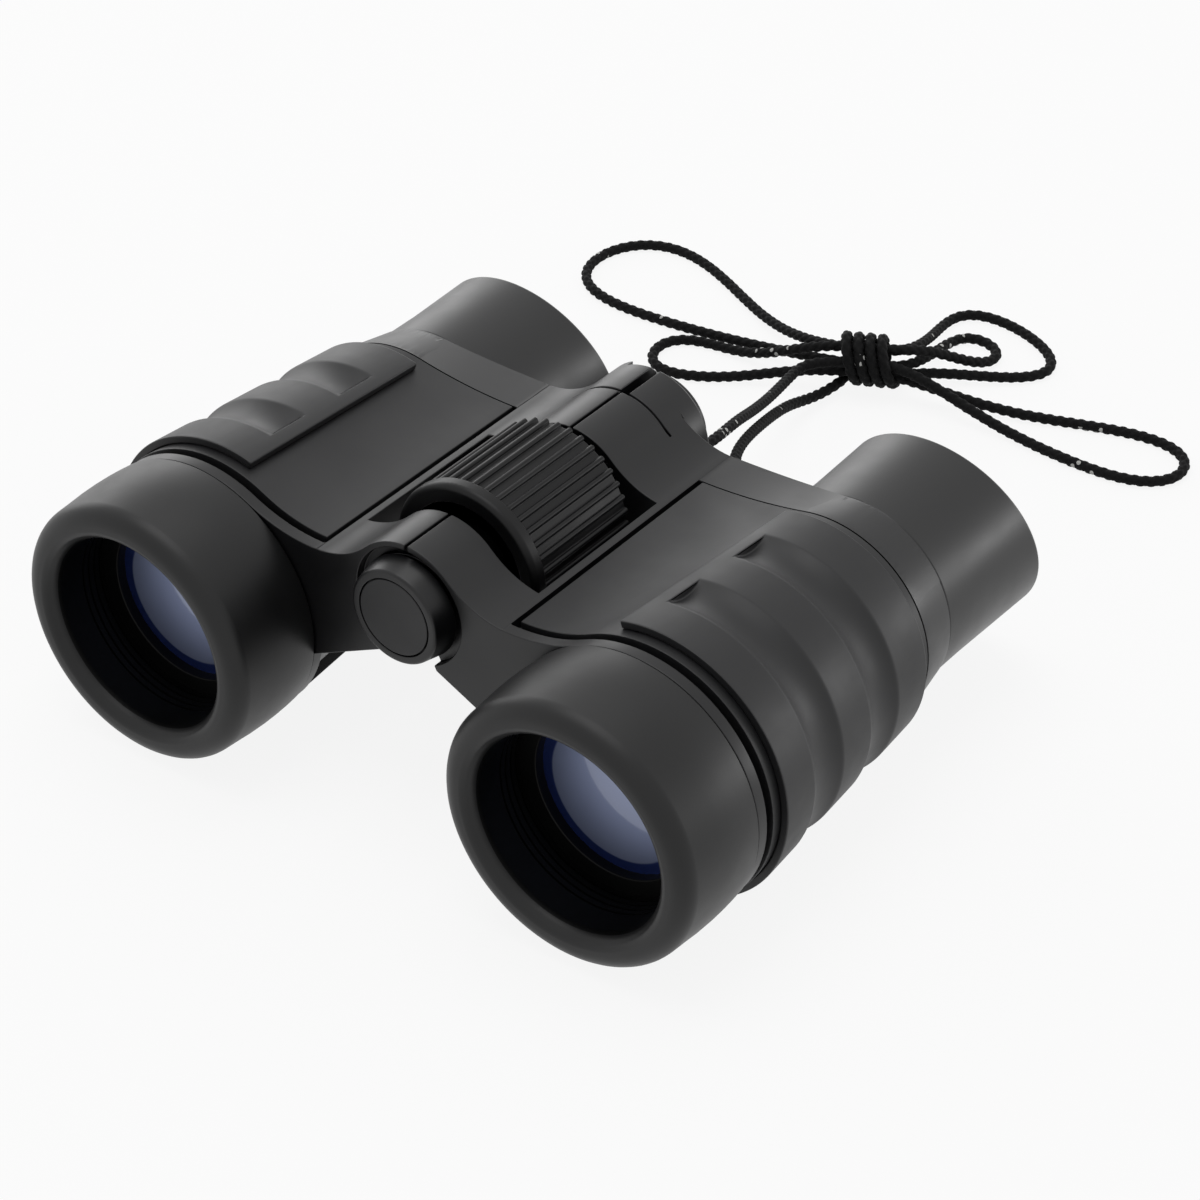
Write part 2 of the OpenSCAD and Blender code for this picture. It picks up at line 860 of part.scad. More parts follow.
// Focus carriage: nut on the spindle, with a groove for both arms and a key against turning
module focus_carriage() {
    color("dimgray")
        on_middle(1) {
            translate([0, 0, hinge_rise])
                turned()
                    difference() {
                        translate([spindle_r + run_fit, carriage_y])
                            square([carriage_r - spindle_r - run_fit, carriage_len]);
                        translate([carriage_groove_r, carriage_y + carriage_flange])
                            square([carriage_r, carriage_len - 2 * carriage_flange]);
                    }
            on_key()
                translate([carriage_groove_r - move_gap, carriage_y, -key_w / 2])
                    cube([key_r - carriage_groove_r + move_gap, carriage_len, key_w]);
        }
}

// Neck cord: one cord from the lug's hole, laid in a bow behind the object and back to the hole.
// The last loop's end is wrapped round the bow's waist.
cord_r = cord_d / 2;
cord_lift = 0.05;
ground_z = cord_r + cord_lift;
lead_sides = 8;
bow_sides = 6;
lead_steps = 3;
ease_times = 3;

// Middle of the waist, the direction of its axis, and half its length
knot = [-9, 94.5, 5.9];
knot_angle = 26;
knot_half = 6;
// The passes through the waist lie on a ring, at these turns about the axis
pass_ring_r = 2.2;
pass_turns = [162, 234, 90, 306, 18];
pass_rings = 4;
// The wrap round them
wrap_ring_r = 5;
wrap_pitch = 2.5;
wrap_turns = 3.1;
wrap_first = 300;
wrap_rings = 66;
// The loops: side of the waist, direction, length, width, how late they open,
// and the passes from which and to which they run
loop_rings = 24;
drop_reach = 17;
bow_loops = [
    [1, 8, 49, -8.6, 1, 0, 1],
    [-1, 196, 31, 7, 1, 1, 2],
    [1, 79, 20, -5.6, 1, 2, 3],
    [-1, 169, 56, 13.4, 0.8, 3, 4],
    [1, 72, 26, 13.5, 0.5, 4, 5]
];
// The leads, from the hole to the bow and from the bow back to the hole
lead_left_points = [
    [5.9, 26.6, 23.8], [4.4, 26.6, 23.8], [1.2, 28, 23.8], [-0.2, 31.2, 23.6], [0, 38, 22.9], [-3.4, 49, 19.6],
    [-6.8, 58, 15.4], [-11, 69, 10.8], [-14.6, 79, 7.6], [-16, 85, 6.6], [-15.6, 88.4, 6.5]
];
lead_right_points = [
    [-13, 86, 1.4], [-13, 78, 4.4], [-8, 64, 10.4], [-2, 49, 16.6], [2, 41, 18.9], [5.6, 37, 20.2],
    [9.2, 34.2, 21.5], [10.8, 31, 22.8], [9.8, 28, 23.6], [7.2, 26.6, 23.8], [5.9, 26.6, 23.8]
];

// A point of the waist: u along its axis, v towards the back, w up
function waist(u, v, w) =
    knot + [u * cos(knot_angle) - v * sin(knot_angle), u * sin(knot_angle) + v * cos(knot_angle), w];

function on_circle(r, turn) = r * [cos(turn), sin(turn)];

function pass_at(i) =
    i < len(pass_turns) ? on_circle(pass_ring_r, pass_turns[i]) : on_circle(wrap_ring_r, wrap_first);

// A pass through the waist towards one side
function pass(i, side) =
    let (at = pass_at(i))
    [for (k = [1 : pass_rings])
        waist(side * knot_half * ((2 * k - 1) / pass_rings - 1), at[0], at[1])];

// A loop swings out from the waist, comes down to the ground and returns
function loop(row) =
    let (turn = row[1], from = pass_at(row[5]), to = pass_at(row[6]))
    [for (k = [0 : loop_rings])
        let (
            t = k / loop_rings,
            out = row[2] * sin(180 * t),
            wide = row[3] * sin(360 * t) * pow(sin(180 * t), row[4]),
            at = from + (to - from) * (1 - cos(180 * t)) / 2,
            start = waist(row[0] * knot_half, at[0], at[1]),
            drop = out < drop_reach ? (1 + cos(180 * out / drop_reach)) / 2 : 0
        )
        [
            start[0] + out * cos(turn) - wide * sin(turn),
            start[1] + out * sin(turn) + wide * cos(turn),
            ground_z + (start[2] - ground_z) * drop
        ]];

function wrap() =
    [for (k = [0 : wrap_rings])
        let (t = k / wrap_rings, at = on_circle(wrap_ring_r, wrap_first - 360 * wrap_turns * t))
        waist(wrap_turns * wrap_pitch * (1 - 2 * t) / 2, at[0], at[1])];

bow_points = concat([for (row = bow_loops) each concat(pass(row[5], row[0]), loop(row))], wrap());

// A round curve through a lead's points
function curve_point(a, b, c, d, t) =
    b + (c - a) * t / 2 + (2 * a - 5 * b + 4 * c - d) * t * t / 2 + (3 * b - a - 3 * c + d) * t * t * t / 2;

function curve(p) =
    [for (i = [0 : len(p) - 2])
        for (k = [0 : lead_steps - 1])
            curve_point(p[max(0, i - 1)], p[i], p[i + 1], p[min(len(p) - 1, i + 2)], k / lead_steps)];

// Each point drawn towards its neighbours, which rounds the corners
function eased(p, times) =
    times == 0 ? p
        : eased([for (i = [0 : len(p) - 1])
            i == 0 || i == len(p) - 1 ? p[i] : (p[i - 1] + 2 * p[i] + p[i + 1]) / 4], times - 1);

left_curve = curve(lead_left_points);
right_curve = curve(lead_right_points);
hole_point = lead_left_points[0];
route = eased(concat(left_curve, bow_points, right_curve, [hole_point]), ease_times);
bow_first = len(left_curve);
bow_last = bow_first + len(bow_points) - 1;
route_last = len(route) - 1;

function unit(v) = v / norm(v);
function heading(i) = unit(route[min(i + 1, route_last)] - route[max(i - 1, 0)]);

// Side directions along the route, carried from point to point so that the tube doesn't twist
function carried(i = 0, side = [0, 0, 1], out = []) =
    i > route_last ? out
        : let (t = heading(i), next = unit(side - (side * t) * t))
          carried(i + 1, next, concat(out, [next]));

route_sides = carried();

// Distance along the route to each point
function stations(i = 0, s = 0, out = []) =
    i > route_last ? out
        : stations(i + 1, s + norm(route[min(i + 1, route_last)] - route[i]), concat(out, [s]));

route_stations = stations();

// Least gap of the bow to itself, between points that lie further apart along the cord than a bend
bend_len = 4 * cord_d;
least_gap = min([
    for (i = [bow_first : bow_last])
        for (j = [i + 1 : 1 : bow_last])
            if (route_stations[j] - route_stations[i] > bend_len)
                norm(route[i] - route[j]) - cord_d
]);
echo(cord_length = route_stations[route_last], least_gap = least_gap);

// Tube along a stretch of the route, closed at both ends
module cord_tube(first, last, sides) {
    rings = last - first;
    points = [
        for (i = [first : last])
            let (t = heading(i), side = route_sides[i], up = cross(t, side))
            for (k = [0 : sides - 1])
                let (at = on_circle(cord_r, 360 * k / sides))
                route[i] + at[0] * side + at[1] * up
    ];
    walls = [
        for (i = [0 : rings - 1])
            for (k = [0 : sides - 1])
                let (a = i * sides + k, b = i * sides + (k + 1) % sides)
                each [[a, b + sides, b], [a, a + sides, b + sides]]
    ];
    end = rings * sides;
    caps = [for (k = [1 : sides - 2]) each [[0, k, k + 1], [end, end + k + 1, end + k]]];
    color(deep_black)
        polyhedron(points, concat(walls, caps));
}

module cord_lead_left() {
    cord_tube(0, bow_first, lead_sides);
}

module cord_bow() {
    cord_tube(bow_first, bow_last, bow_sides);
}

module cord_lead_right() {
    cord_tube(bow_last, route_last, lead_sides);
}

right_body_shell();
armour_cover(1);  // right_armour_cover
grip_pad(1);  // right_grip_pad
objective_hood(1);  // right_objective_hood
objective_lens(1);  // right_objective_lens
lens_ring(1);  // right_lens_ring
eyepiece_tube(1);  // right_eyepiece_tube
eye_lens(1);  // right_eye_lens
eye_lens_ring(1);  // right_eye_lens_ring
eyecup(1);  // right_eyecup
left_body_shell();
armour_cover(-1);  // left_armour_cover
grip_pad(-1);  // left_grip_pad
objective_hood(-1);  // left_objective_hood
objective_lens(-1);  // left_objective_lens
lens_ring(-1);  // left_lens_ring
eyepiece_tube(-1);  // left_eyepiece_tube
eye_lens(-1);  // left_eye_lens
eye_lens_ring(-1);  // left_eye_lens_ring
eyecup(-1);  // left_eyecup
hinge_axle();
front_hinge_cap();
front_cap_disc();
rear_hinge_cap();
focus_wheel();
focus_spindle();
focus_carriage();
cord_lead_left();
cord_bow();
cord_lead_right();
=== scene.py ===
"""Toy binoculars with a neck cord: the finished look of the part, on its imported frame, in metres."""

import math

import bmesh
import bpy
from mathutils import Euler, Matrix, Vector
from mathutils.bvhtree import BVHTree


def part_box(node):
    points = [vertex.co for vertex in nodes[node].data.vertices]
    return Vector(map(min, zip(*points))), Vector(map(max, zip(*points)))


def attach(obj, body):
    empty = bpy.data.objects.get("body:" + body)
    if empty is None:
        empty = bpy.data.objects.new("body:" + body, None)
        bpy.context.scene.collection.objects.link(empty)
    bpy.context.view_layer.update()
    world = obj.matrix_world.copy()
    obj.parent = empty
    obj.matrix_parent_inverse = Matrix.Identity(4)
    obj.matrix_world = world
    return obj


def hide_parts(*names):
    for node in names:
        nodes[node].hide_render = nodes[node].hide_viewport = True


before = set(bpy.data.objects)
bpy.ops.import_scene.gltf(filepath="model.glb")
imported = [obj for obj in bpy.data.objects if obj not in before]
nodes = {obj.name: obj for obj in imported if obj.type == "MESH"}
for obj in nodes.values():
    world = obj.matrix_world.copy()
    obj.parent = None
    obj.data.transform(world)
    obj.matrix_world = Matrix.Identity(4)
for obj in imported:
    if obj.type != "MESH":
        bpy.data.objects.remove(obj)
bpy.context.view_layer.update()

# Body shells: two black ABS mouldings from a polished mould. Their knuckle rings run on the hinge
# axle, and the shrouds close over it.
sides = {"right": 1, "left": -1}
# Sizes are in millimetres, and this factor turns them into the metres of the frame
MM = 0.001
flow_mm = 9
gloss_spread = 0.04
tint_low = 0.8
tint_high = 1.25


def linear(hex_colour):
    """An sRGB hex colour as linear red, green, blue and a full alpha."""
    shares = [int(hex_colour[i:i + 2], 16) / 255 for i in (1, 3, 5)]
    return [s / 12.92 if s <= 0.04045 else ((s + 0.055) / 1.055) ** 2.4 for s in shares] + [1]


def new_material(name):
    """A material without nodes, and its tree."""
    material = bpy.data.materials.new(name)
    material.use_nodes = True
    material.node_tree.nodes.clear()
    return material, material.node_tree


def add_node(tree, kind, inputs=(), **settings):
    """Add a node to a tree with its settings, and fill its sockets with values or links."""
    made = tree.nodes.new(kind)
    for name, value in settings.items():
        setattr(made, name, value)
    for socket, value in dict(inputs).items():
        if isinstance(value, bpy.types.NodeSocket):
            tree.links.new(value, made.inputs[socket])
        else:
            made.inputs[socket].default_value = value
    return made


def moulded_plastic(name, colour, roughness, specular, grain_mm, grain_depth_mm):
    """A moulded black plastic: grain from an eroded mould, and gloss that varies a little with the flow.

    The grain is drawn somewhat coarser than a mould's, so that it shows."""
    material, tree = new_material(name)
    place = add_node(tree, "ShaderNodeTexCoord").outputs["Object"]
    grain = add_node(tree, "ShaderNodeTexNoise", {
        "Vector": place, "Scale": 1 / (grain_mm * MM), "Detail": 3, "Roughness": 0.6})
    flow = add_node(tree, "ShaderNodeTexNoise", {
        "Vector": place, "Scale": 1 / (flow_mm * MM), "Detail": 3, "Roughness": 0.55})
    gloss = add_node(tree, "ShaderNodeMapRange", {
        "Value": flow.outputs["Fac"], "From Min": 0.3, "From Max": 0.7,
        "To Min": roughness - gloss_spread, "To Max": roughness + gloss_spread})
    tint = add_node(tree, "ShaderNodeMix", {
        "Factor": grain.outputs["Fac"], "A": [c * tint_low for c in linear(colour)],
        "B": [c * tint_high for c in linear(colour)]}, data_type="RGBA")
    relief = add_node(tree, "ShaderNodeBump", {
        "Height": grain.outputs["Fac"], "Strength": 1, "Distance": grain_depth_mm * MM})
    surface = add_node(tree, "ShaderNodeBsdfPrincipled", {
        "Base Color": tint.outputs["Result"], "Roughness": gloss.outputs["Result"],
        "Normal": relief.outputs["Normal"], "IOR": 1.5, "Specular IOR Level": specular})
    add_node(tree, "ShaderNodeOutputMaterial", {"Surface": surface.outputs["BSDF"]})
    return material


# Polished ABS: deep black with soft, clear highlights and hardly any grain
gloss_abs = moulded_plastic(
    "polished black ABS", "#08080a", roughness=0.38, specular=0.4, grain_mm=0.3, grain_depth_mm=0.0015)

crease_angle = math.radians(35)
flat_face_weight = 90


def make_piece(bm, name, body, materials, replaced):
    """Turn a bmesh into a finished piece: smooth but for its sharp edges, riding in place of CAD nodes."""
    mesh = bpy.data.meshes.new(name)
    bm.to_mesh(mesh)
    bm.free()
    mesh.shade_smooth()
    mesh.set_sharp_from_angle(angle=crease_angle)
    for material in materials:
        mesh.materials.append(material)
    piece = bpy.data.objects.new(name, mesh)
    bpy.context.scene.collection.objects.link(piece)
    even = piece.modifiers.new("even shading", "WEIGHTED_NORMAL")
    even.keep_sharp = True
    even.weight = flat_face_weight
    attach(piece, body)
    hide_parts(*replaced)


merge_gap = 0.001 * MM
flat_angle = math.radians(0.4)
edge_segments = 2


def softened_copy(node, rounding_mm, sharp_angle=30):
    """A CAD node's shape with its sharp edges rounded, as the edges of a mould are.

    A corner that the rounding throws off the CAD surface goes back to it."""
    bm = bmesh.new()
    bm.from_mesh(nodes[node].data)
    bmesh.ops.remove_doubles(bm, verts=bm.verts, dist=merge_gap)
    bmesh.ops.dissolve_limit(bm, angle_limit=flat_angle, verts=bm.verts, edges=bm.edges)
    cad_surface = BVHTree.FromBMesh(bm)
    inner = [e for e in bm.edges if len(e.link_faces) == 2]
    sharp = [e for e in inner if e.calc_face_angle() > math.radians(sharp_angle)]
    bmesh.ops.bevel(
        bm, geom=sharp, offset=rounding_mm * MM, offset_type="OFFSET", affect="EDGES",
        segments=edge_segments, profile=0.5, material=-1)
    for vert in bm.verts:
        nearest, _, _, gap = cad_surface.find_nearest(vert.co)
        if gap > rounding_mm * MM / 2:
            vert.co = nearest
    return bm


def box_mm(node):
    """The lowest and the highest x, y and z of a CAD node, in millimetres to three places."""
    return [[round(place / MM, 3) for place in corner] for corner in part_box(node)]


# A barrel's axis runs through the middle of its eye lens, and stations count from the lip of the hood
eye_lens_low, eye_lens_high = box_mm("right_eye_lens")
barrel_x, _, barrel_z = [(low + high) / 2 for low, high in zip(eye_lens_low, eye_lens_high)]
hood_low, hood_high = box_mm("right_objective_hood")
lip_y = hood_low[1]
# The band behind the cover sweeps from the web up on to the barrel in one hollow curve
band_y = 60.45
band_end_y = 68.05
band_front_r = 17.2
band_rear_r = 15.9
band_end_angle = math.radians(60)
saddle_x = 16.8
saddle_rise = 15
band_sink = 1.2
sweep_steps = 24


def band_section(bm, sign, y, r):
    """A closed wire round the band's section: over the saddle and the barrel, and back inside."""
    reach = barrel_x - saddle_x
    arc_r = (reach**2 + saddle_rise**2 - r**2) / (2 * (r - saddle_rise))
    lean = math.atan2(reach, saddle_rise + arc_r)
    outside = []
    for i in range(sweep_steps):
        a = lean * i / sweep_steps
        outside.append((saddle_x + arc_r * math.sin(a), saddle_rise + arc_r * (1 - math.cos(a))))
    for i in range(sweep_steps + 1):
        a = -lean + (lean + band_end_angle) * i / sweep_steps
        outside.append((barrel_x + r * math.sin(a), r * math.cos(a)))
    inside = [(x, z - band_sink) for x, z in reversed(outside)]
    verts = []
    for x, z in outside + inside:
        verts.append(bm.verts.new((sign * x * MM, (lip_y + y) * MM, (barrel_z + z) * MM)))
    return [bm.edges.new(pair) for pair in zip(verts, verts[1:] + verts[:1])]


shell_rounding = 0.16
for side, sign in sides.items():
    shell = softened_copy(side + "_body_shell", shell_rounding)
    front_ring = band_section(shell, sign, band_y, band_front_r)
    rear_ring = band_section(shell, sign, band_end_y, band_rear_r)
    swept = bmesh.ops.bridge_loops(shell, edges=front_ring + rear_ring)["faces"]
    swept += bmesh.ops.contextual_create(shell, geom=front_ring)["faces"]
    swept += bmesh.ops.contextual_create(shell, geom=rear_ring)["faces"]
    bmesh.ops.recalc_face_normals(shell, faces=swept)
    make_piece(shell, side + "_shell", side + "_barrel", [gloss_abs], [side + "_body_shell"])

# Armour covers: black panels let into each body over the barrel and the saddle, glued down.
# They are moulded and then painted with a matte soft-touch paint.
cover_rounding = 0.15
# Soft-touch paint: matte and slightly rubbery, with wide dull highlights
soft_touch = moulded_plastic(
    "soft-touch black paint", "#0c0c0e", roughness=0.5, specular=0.45, grain_mm=0.22, grain_depth_mm=0.004)
for side in sides:
    cover = softened_copy(side + "_armour_cover", cover_rounding)
    make_piece(cover, side + "_cover", side + "_barrel", [soft_touch], [side + "_armour_cover"])

# Grip pads: thicker pads in the same soft-touch finish, moulded with two finger flutes that end in
# pockets, and glued on the covers.
pad_rounding = 0.25
flute_edge_angle = 18
for side in sides:
    pad = softened_copy(side + "_grip_pad", pad_rounding, sharp_angle=flute_edge_angle)
    make_piece(pad, side + "_pad", side + "_barrel", [soft_touch], [side + "_grip_pad"])

# Objective hoods: black ABS caps with a fine mould texture, pushed into the front of the barrels.
# A soft lip leads into a matt bore with glare grooves, and a stop in the bore seats the lens.
hood_len = 15.85
hood_r = 20
hood_swell = 0.5
swell_y = 9.92
swell_stations = (5, 7.4, swell_y, 12, 14)
lip_round = 2.6
lip_in_r = 16.2
lip_in_round = 0.6
mouth_y = 1.6
mouth_round = 0.9
hood_rear_round = 0.25
spigot_r = 17
spigot_end_y = hood_high[1] - lip_y
spigot_round = 0.3
lens_pocket_r = 13.35
lens_seat_y = 12.4
stop_r = 12.3
stop_face_y = 10.8
stop_round = 0.2
hood_bore_r = 14.9
glare_grooves = 4
glare_pitch = 1.1
glare_groove = 0.35
# The matt finish, with its painted shade, starts inside the mouth, and covers what lies no further out than
# the grooves
matt_and_shade_from_y = 1.7
matt_and_shade_margin = 0.4
matt_and_shade_to_r = hood_bore_r + matt_and_shade_margin
turn_steps = 128
corner_segments = 8


def turned(corners, x, z):
    """A piece turned about an axis along Y at x and z: corners give radius, station and rounding, in mm."""
    bm = bmesh.new()
    verts = [bm.verts.new(((x + r) * MM, (lip_y + y) * MM, z * MM)) for r, y, _ in corners]
    for a, b in zip(verts, verts[1:] + verts[:1]):
        bm.edges.new((a, b))
    for vert, (_, _, rounding) in zip(verts, corners):
        if rounding:
            bmesh.ops.bevel(
                bm, geom=[vert], offset=rounding * MM, offset_type="OFFSET", affect="VERTICES",
                segments=corner_segments, profile=0.5, material=-1)
    bmesh.ops.spin(
        bm, geom=bm.verts[:] + bm.edges[:], cent=(x * MM, 0, z * MM), axis=(0, 1, 0),
        angle=2 * math.pi, steps=turn_steps, use_merge=True)
    bmesh.ops.remove_doubles(bm, verts=bm.verts, dist=merge_gap)
    bmesh.ops.recalc_face_normals(bm, faces=bm.faces)
    return bm


def swell_radius(y):
    """Radius of the hood's outside, which swells in a shallow arc."""
    arc_r = ((swell_y - lip_round) ** 2 + hood_swell**2) / (2 * hood_swell)
    return hood_r + hood_swell - arc_r + math.sqrt(arc_r**2 - (y - swell_y) ** 2)


hood_corners = [(hood_r, 0, lip_round)]
hood_corners += [(swell_radius(y), y, 0) for y in swell_stations]
hood_corners += [
    (swell_radius(hood_len), hood_len, hood_rear_round), (spigot_r, hood_len, 0),
    (spigot_r, spigot_end_y, spigot_round), (lens_pocket_r, spigot_end_y, 0),
    (lens_pocket_r, lens_seat_y, 0), (stop_r, lens_seat_y, 0),
    (stop_r, stop_face_y, stop_round), (hood_bore_r, stop_face_y, 0)]
for i in range(glare_grooves):
    groove_y = stop_face_y - glare_pitch * (i + 1)
    hood_corners += [
        (hood_bore_r, groove_y + glare_groove, 0), (hood_bore_r + glare_groove, groove_y + glare_groove, 0),
        (hood_bore_r + glare_groove, groove_y, 0), (hood_bore_r, groove_y, 0)]
hood_corners += [(hood_bore_r, mouth_y, mouth_round), (lip_in_r, 0, lip_in_round)]

# Textured ABS: a dull black that still shows a soft highlight along the lip
textured_abs = moulded_plastic(
    "textured black ABS", "#0a0a0b", roughness=0.43, specular=0.38, grain_mm=0.3, grain_depth_mm=0.004)
# The bore keeps stray light down: it is matt, and painted shade makes it darker than the outside
bore_matt_and_shade = moulded_plastic(
    "matt black bore with painted shade", "#020202", roughness=0.45, specular=0.14, grain_mm=0.3, grain_depth_mm=0.003)
for side, sign in sides.items():
    hood = turned(hood_corners, sign * barrel_x, barrel_z)
    axis = Vector((sign * barrel_x, 0, barrel_z)) * MM
    for face in hood.faces:
        out = face.calc_center_median() - axis
        depth = out.y - lip_y * MM
        out.y = 0
        # Faces deep in the bore take the matt material with its painted shade
        face.material_index = int(out.length < matt_and_shade_to_r * MM and depth > matt_and_shade_from_y * MM)
    make_piece(
        hood, side + "_hood", side + "_barrel",
        [textured_abs, bore_matt_and_shade], [side + "_objective_hood"])

# Objective lenses: moulded acrylic lenses with a blue coating. Each sits behind the stop of its hood,
# and a ring holds it from behind.
_, lens_high = box_mm("right_objective_lens")
lens_r = lens_high[0] - barrel_x
lens_clear_r = 12.2
lens_edge = 1.6
lens_bulge = 1.2
lens_steps = 24
# The painted reflection in the middle of the lens fades into the rim's deep blue between these radii
reflection_fade_from_r = 10.3
reflection_fade_to_r = 10.7


def lens_face():
    """Radius and height of a lens face above its rim, from the middle out."""
    face_r = (lens_clear_r**2 + lens_bulge**2) / (2 * lens_bulge)
    rows = []
    for i in range(lens_steps + 1):
        r = lens_clear_r * i / lens_steps
        rows.append((r, math.sqrt(face_r**2 - r**2) - (face_r - lens_bulge)))
    return rows


lens_corners = [(r, lens_seat_y - rise, 0) for r, rise in lens_face()]
lens_corners += [(lens_r, lens_seat_y, 0), (lens_r, lens_seat_y + lens_edge, 0)]
lens_corners += [(r, lens_seat_y + lens_edge + rise, 0) for r, rise in reversed(lens_face())]

# Coated acrylic: a painted reflection, a lighter grey-blue, fills the middle of the face and fades into the
# coating's deep blue at the rim
coated_lens, tree = new_material("blue-coated acrylic")
place = add_node(tree, "ShaderNodeTexCoord").outputs["Object"]
across = add_node(tree, "ShaderNodeSeparateXYZ", {0: place})
aside = add_node(tree, "ShaderNodeMath", {0: across.outputs["X"]}, operation="ABSOLUTE")
aside = add_node(tree, "ShaderNodeMath", {0: aside.outputs[0], 1: barrel_x * MM}, operation="SUBTRACT")
above = add_node(tree, "ShaderNodeMath", {0: across.outputs["Z"], 1: barrel_z * MM}, operation="SUBTRACT")
flat = add_node(tree, "ShaderNodeCombineXYZ", {"X": aside.outputs[0], "Y": above.outputs[0]})
radius = add_node(tree, "ShaderNodeVectorMath", {0: flat.outputs[0]}, operation="LENGTH")
# Painted reflection: lighter grey-blue in the middle, deep blue towards the rim
reflection_to_rim = add_node(tree, "ShaderNodeMapRange", {
    "Value": radius.outputs["Value"], "From Min": reflection_fade_from_r * MM, "From Max": reflection_fade_to_r * MM,
}, interpolation_type="SMOOTHSTEP")
colour = add_node(tree, "ShaderNodeMix", {
    "Factor": reflection_to_rim.outputs["Result"], "A": linear("#8791b0"), "B": linear("#1c2f6e")}, data_type="RGBA")
surface = add_node(tree, "ShaderNodeBsdfPrincipled", {
    "Base Color": colour.outputs["Result"], "Metallic": 0.7, "Roughness": 0.5,
    "Coat Weight": 1, "Coat Roughness": 0.02, "Coat IOR": 1.5})
add_node(tree, "ShaderNodeOutputMaterial", {"Surface": surface.outputs["BSDF"]})
for side, sign in sides.items():
    lens = turned(lens_corners, sign * barrel_x, barrel_z)
    make_piece(
        lens, side + "_front_lens", side + "_barrel",
        [coated_lens], [side + "_objective_lens"])

# Lens rings: plain black ABS rings, pressed into the hoods behind the lenses.
# They are hidden inside, so the CAD shape is kept.
for side in sides:
    nodes[side + "_lens_ring"].data.materials[0] = gloss_abs

# Eyepieces: black ABS tubes that slide in the barrels, each with an arm to the focus carriage.
# An eye lens is pressed into the end of each tube under a ring.
bloom_mm = 6
# Polished acrylic: it looks dark from the black tube behind it, with a faint cool bloom and a clear glint
eye_glass, tree = new_material("polished clear acrylic")
place = add_node(tree, "ShaderNodeTexCoord").outputs["Object"]
bloom = add_node(tree, "ShaderNodeTexNoise", {"Vector": place, "Scale": 1 / (bloom_mm * MM), "Detail": 2})
colour = add_node(tree, "ShaderNodeMix", {
    "Factor": bloom.outputs["Fac"], "A": linear("#090b0e"), "B": linear("#11151c")}, data_type="RGBA")
gloss = add_node(tree, "ShaderNodeMapRange", {"Value": bloom.outputs["Fac"], "To Min": 0.02, "To Max": 0.06})
surface = add_node(tree, "ShaderNodeBsdfPrincipled", {
    "Base Color": colour.outputs["Result"], "Roughness": gloss.outputs["Result"], "IOR": 1.5})
add_node(tree, "ShaderNodeOutputMaterial", {"Surface": surface.outputs["BSDF"]})
for side in sides:
    nodes[side + "_eyepiece_tube"].data.materials[0] = gloss_abs
    nodes[side + "_eye_lens_ring"].data.materials[0] = gloss_abs
    nodes[side + "_eye_lens"].data.materials[0] = eye_glass

# Eyecups: soft black rubber cups, moulded with a rim that slants back towards the underside, and
# pressed on the eyepiece tubes.
cup_low, _ = box_mm("right_eyecup")
cup_y = cup_low[1] - lip_y
cup_len = 23.4
cup_r = 15.6
cup_front_round = 0.5
cup_rim_r = 16
cup_bore_r = 14.1
cup_socket_r = 12.2
cup_socket_end_y = 79.3
cup_shelf_y = 80.7
cup_shelf_round = 0.4
cup_eye_r = 9.5
cup_eye_round = 0.3
cup_rim_y = cup_y + cup_len
rim_slant = 0.29
rim_round = 0.8
slant_start_y = cup_y + cup_len / 3
cup_corners = [
    (cup_socket_r, cup_y, 0), (cup_r, cup_y, cup_front_round), (cup_r, slant_start_y, 0),
    (cup_rim_r, cup_rim_y, rim_round), (cup_bore_r, cup_rim_y, rim_round),
    (cup_bore_r, cup_shelf_y, cup_shelf_round), (cup_eye_r, cup_shelf_y, cup_eye_round),
    (cup_eye_r, cup_socket_end_y, 0), (cup_socket_r, cup_socket_end_y, 0)]
# Matte rubber: a fine dull grain with a soft sheen on the round of the cup
cup_rubber = moulded_plastic(
    "matte black rubber", "#0b0b0c", roughness=0.38, specular=0.5, grain_mm=0.25, grain_depth_mm=0.004)
for side, sign in sides.items():
    cup = turned(cup_corners, sign * barrel_x, barrel_z)
    for vert in cup.verts:
        station = vert.co.y / MM - lip_y
        out = math.hypot(vert.co.x / MM - sign * barrel_x, vert.co.z / MM - barrel_z)
        on_wall = out > cup_bore_r - rim_round and station > cup_shelf_y + rim_round
        on_rim = station > cup_rim_y - 2 * rim_round
        if on_wall or on_rim:
            share = min(1, (station - slant_start_y) / (cup_rim_y - slant_start_y))
            vert.co.y -= rim_slant * (vert.co.z - barrel_z * MM) * share
    bmesh.ops.recalc_face_normals(cup, faces=cup.faces)
    make_piece(cup, side + "_cup", side + "_eyepiece", [cup_rubber], [side + "_eyecup"])

